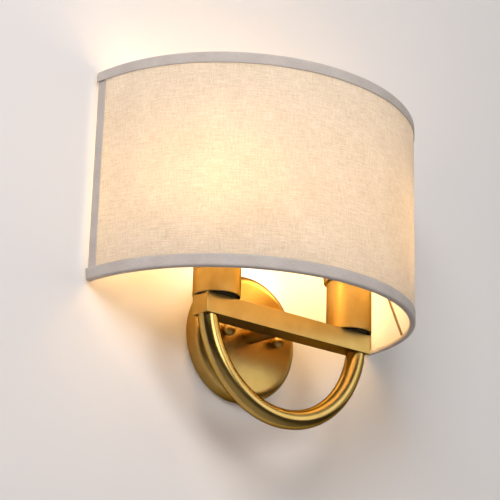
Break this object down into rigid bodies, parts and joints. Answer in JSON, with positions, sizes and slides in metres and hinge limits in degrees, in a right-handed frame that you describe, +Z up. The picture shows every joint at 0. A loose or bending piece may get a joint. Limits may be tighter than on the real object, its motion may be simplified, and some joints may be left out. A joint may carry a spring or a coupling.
{
  "type": "fabric shade wall light",
  "caption": "Wall light with a half-drum linen shade over two upright lamps on a square bar, a half ring below it, and an arm from a round back plate.",
  "frame": {"origin": "centre of the back plate on the wall face, midway between the bracket slots", "axes": "+X to the light's right seen from the room, +Y into the wall, +Z up"},
  "size_m": [0.353, 0.164, 0.3158],
  "materials": {
    "satin_brass": "satin aged gold, fine brushed grain",
    "zinc_steel": "zinc plated",
    "ground_screw_green": "green lacquer",
    "frame_wire": "thin dull brass plating",
    "holder_phenolic": "moulded black phenolic",
    "contact_brass": "bare rolled brass",
    "bulb_cap_metal": "rolled aluminium",
    "frosted_glass": "frosted inside",
    "shade_linen": "oatmeal linen, plain weave with slubs",
    "shade_lining": "white translucent lining film",
    "trim_tape": "grey taupe woven tape",
    "lead_insulation": "smooth",
    "connector_plastic": "moulded, ribbed grip",
    "earth_green": "smooth"
  },
  "bodies": {
    "light": {"arm_tube": "satin_brass", "back_plate": "satin_brass", "ball_cap_nuts": "satin_brass", "bar_end_left": "satin_brass", "bar_end_right": "satin_brass", "bar_nipple": "zinc_steel", "centre_contact_left": "contact_brass", "centre_contact_right": "contact_brass", "earth_lead": "earth_green", "fitter_front_arms": "frame_wire", "fitter_link": "frame_wire", "fitter_plate_left": "frame_wire", "fitter_plate_right": "frame_wire", "fitter_side_arms": "frame_wire", "frame_wire_bottom": "frame_wire", "frame_wire_sides": "frame_wire", "frame_wire_top": "frame_wire", "ground_screw": "ground_screw_green", "half_ring": "satin_brass", "lamp_bar": "satin_brass", "lamp_holder_left": "holder_phenolic", "lamp_holder_right": "holder_phenolic", "leads_left": "lead_insulation", "leads_right": "lead_insulation", "lower_shade_ring_left": "satin_brass", "lower_shade_ring_right": "satin_brass", "mounting_studs": "zinc_steel", "nipple_nuts": "zinc_steel", "plate_nipple": "zinc_steel", "plate_washer": "zinc_steel", "screw_shell_left": "contact_brass", "screw_shell_right": "contact_brass", "shade_fabric": "shade_linen", "shade_liner": "shade_lining", "socket_nipples": "zinc_steel", "socket_sleeve_left": "satin_brass", "socket_sleeve_right": "satin_brass", "stud_lock_nuts": "zinc_steel", "trim_bottom": "trim_tape", "trim_left": "trim_tape", "trim_right": "trim_tape", "trim_top": "trim_tape", "wall_bracket": "zinc_steel", "wire_connectors": "connector_plastic"},
    "bulb_left": {"bulb_cap_left": "bulb_cap_metal", "bulb_glass_left": "frosted_glass"},
    "bulb_right": {"bulb_cap_right": "bulb_cap_metal", "bulb_glass_right": "frosted_glass"},
    "shade_ring_left": {"upper_shade_ring_left": "satin_brass"},
    "shade_ring_right": {"upper_shade_ring_right": "satin_brass"}
  },
  "joints": [
    {"name": "bulb_left_turn", "type": "hinge", "parent": "light", "child": "bulb_left", "pos_m": [-0.0815, -0.0688, 0.06], "axis": [0, 0, 1], "range_deg": [0, 1080]},
    {"name": "bulb_right_turn", "type": "hinge", "parent": "light", "child": "bulb_right", "pos_m": [0.0815, -0.0688, 0.06], "axis": [0, 0, 1], "range_deg": [0, 1080]},
    {"name": "shade_ring_left_turn", "type": "hinge", "parent": "light", "child": "shade_ring_left", "pos_m": [-0.0815, -0.0688, 0.06805], "axis": [0, 0, 1], "range_deg": [0, 900]},
    {"name": "shade_ring_right_turn", "type": "hinge", "parent": "light", "child": "shade_ring_right", "pos_m": [0.0815, -0.0688, 0.06805], "axis": [0, 0, 1], "range_deg": [0, 900]}
  ]
}
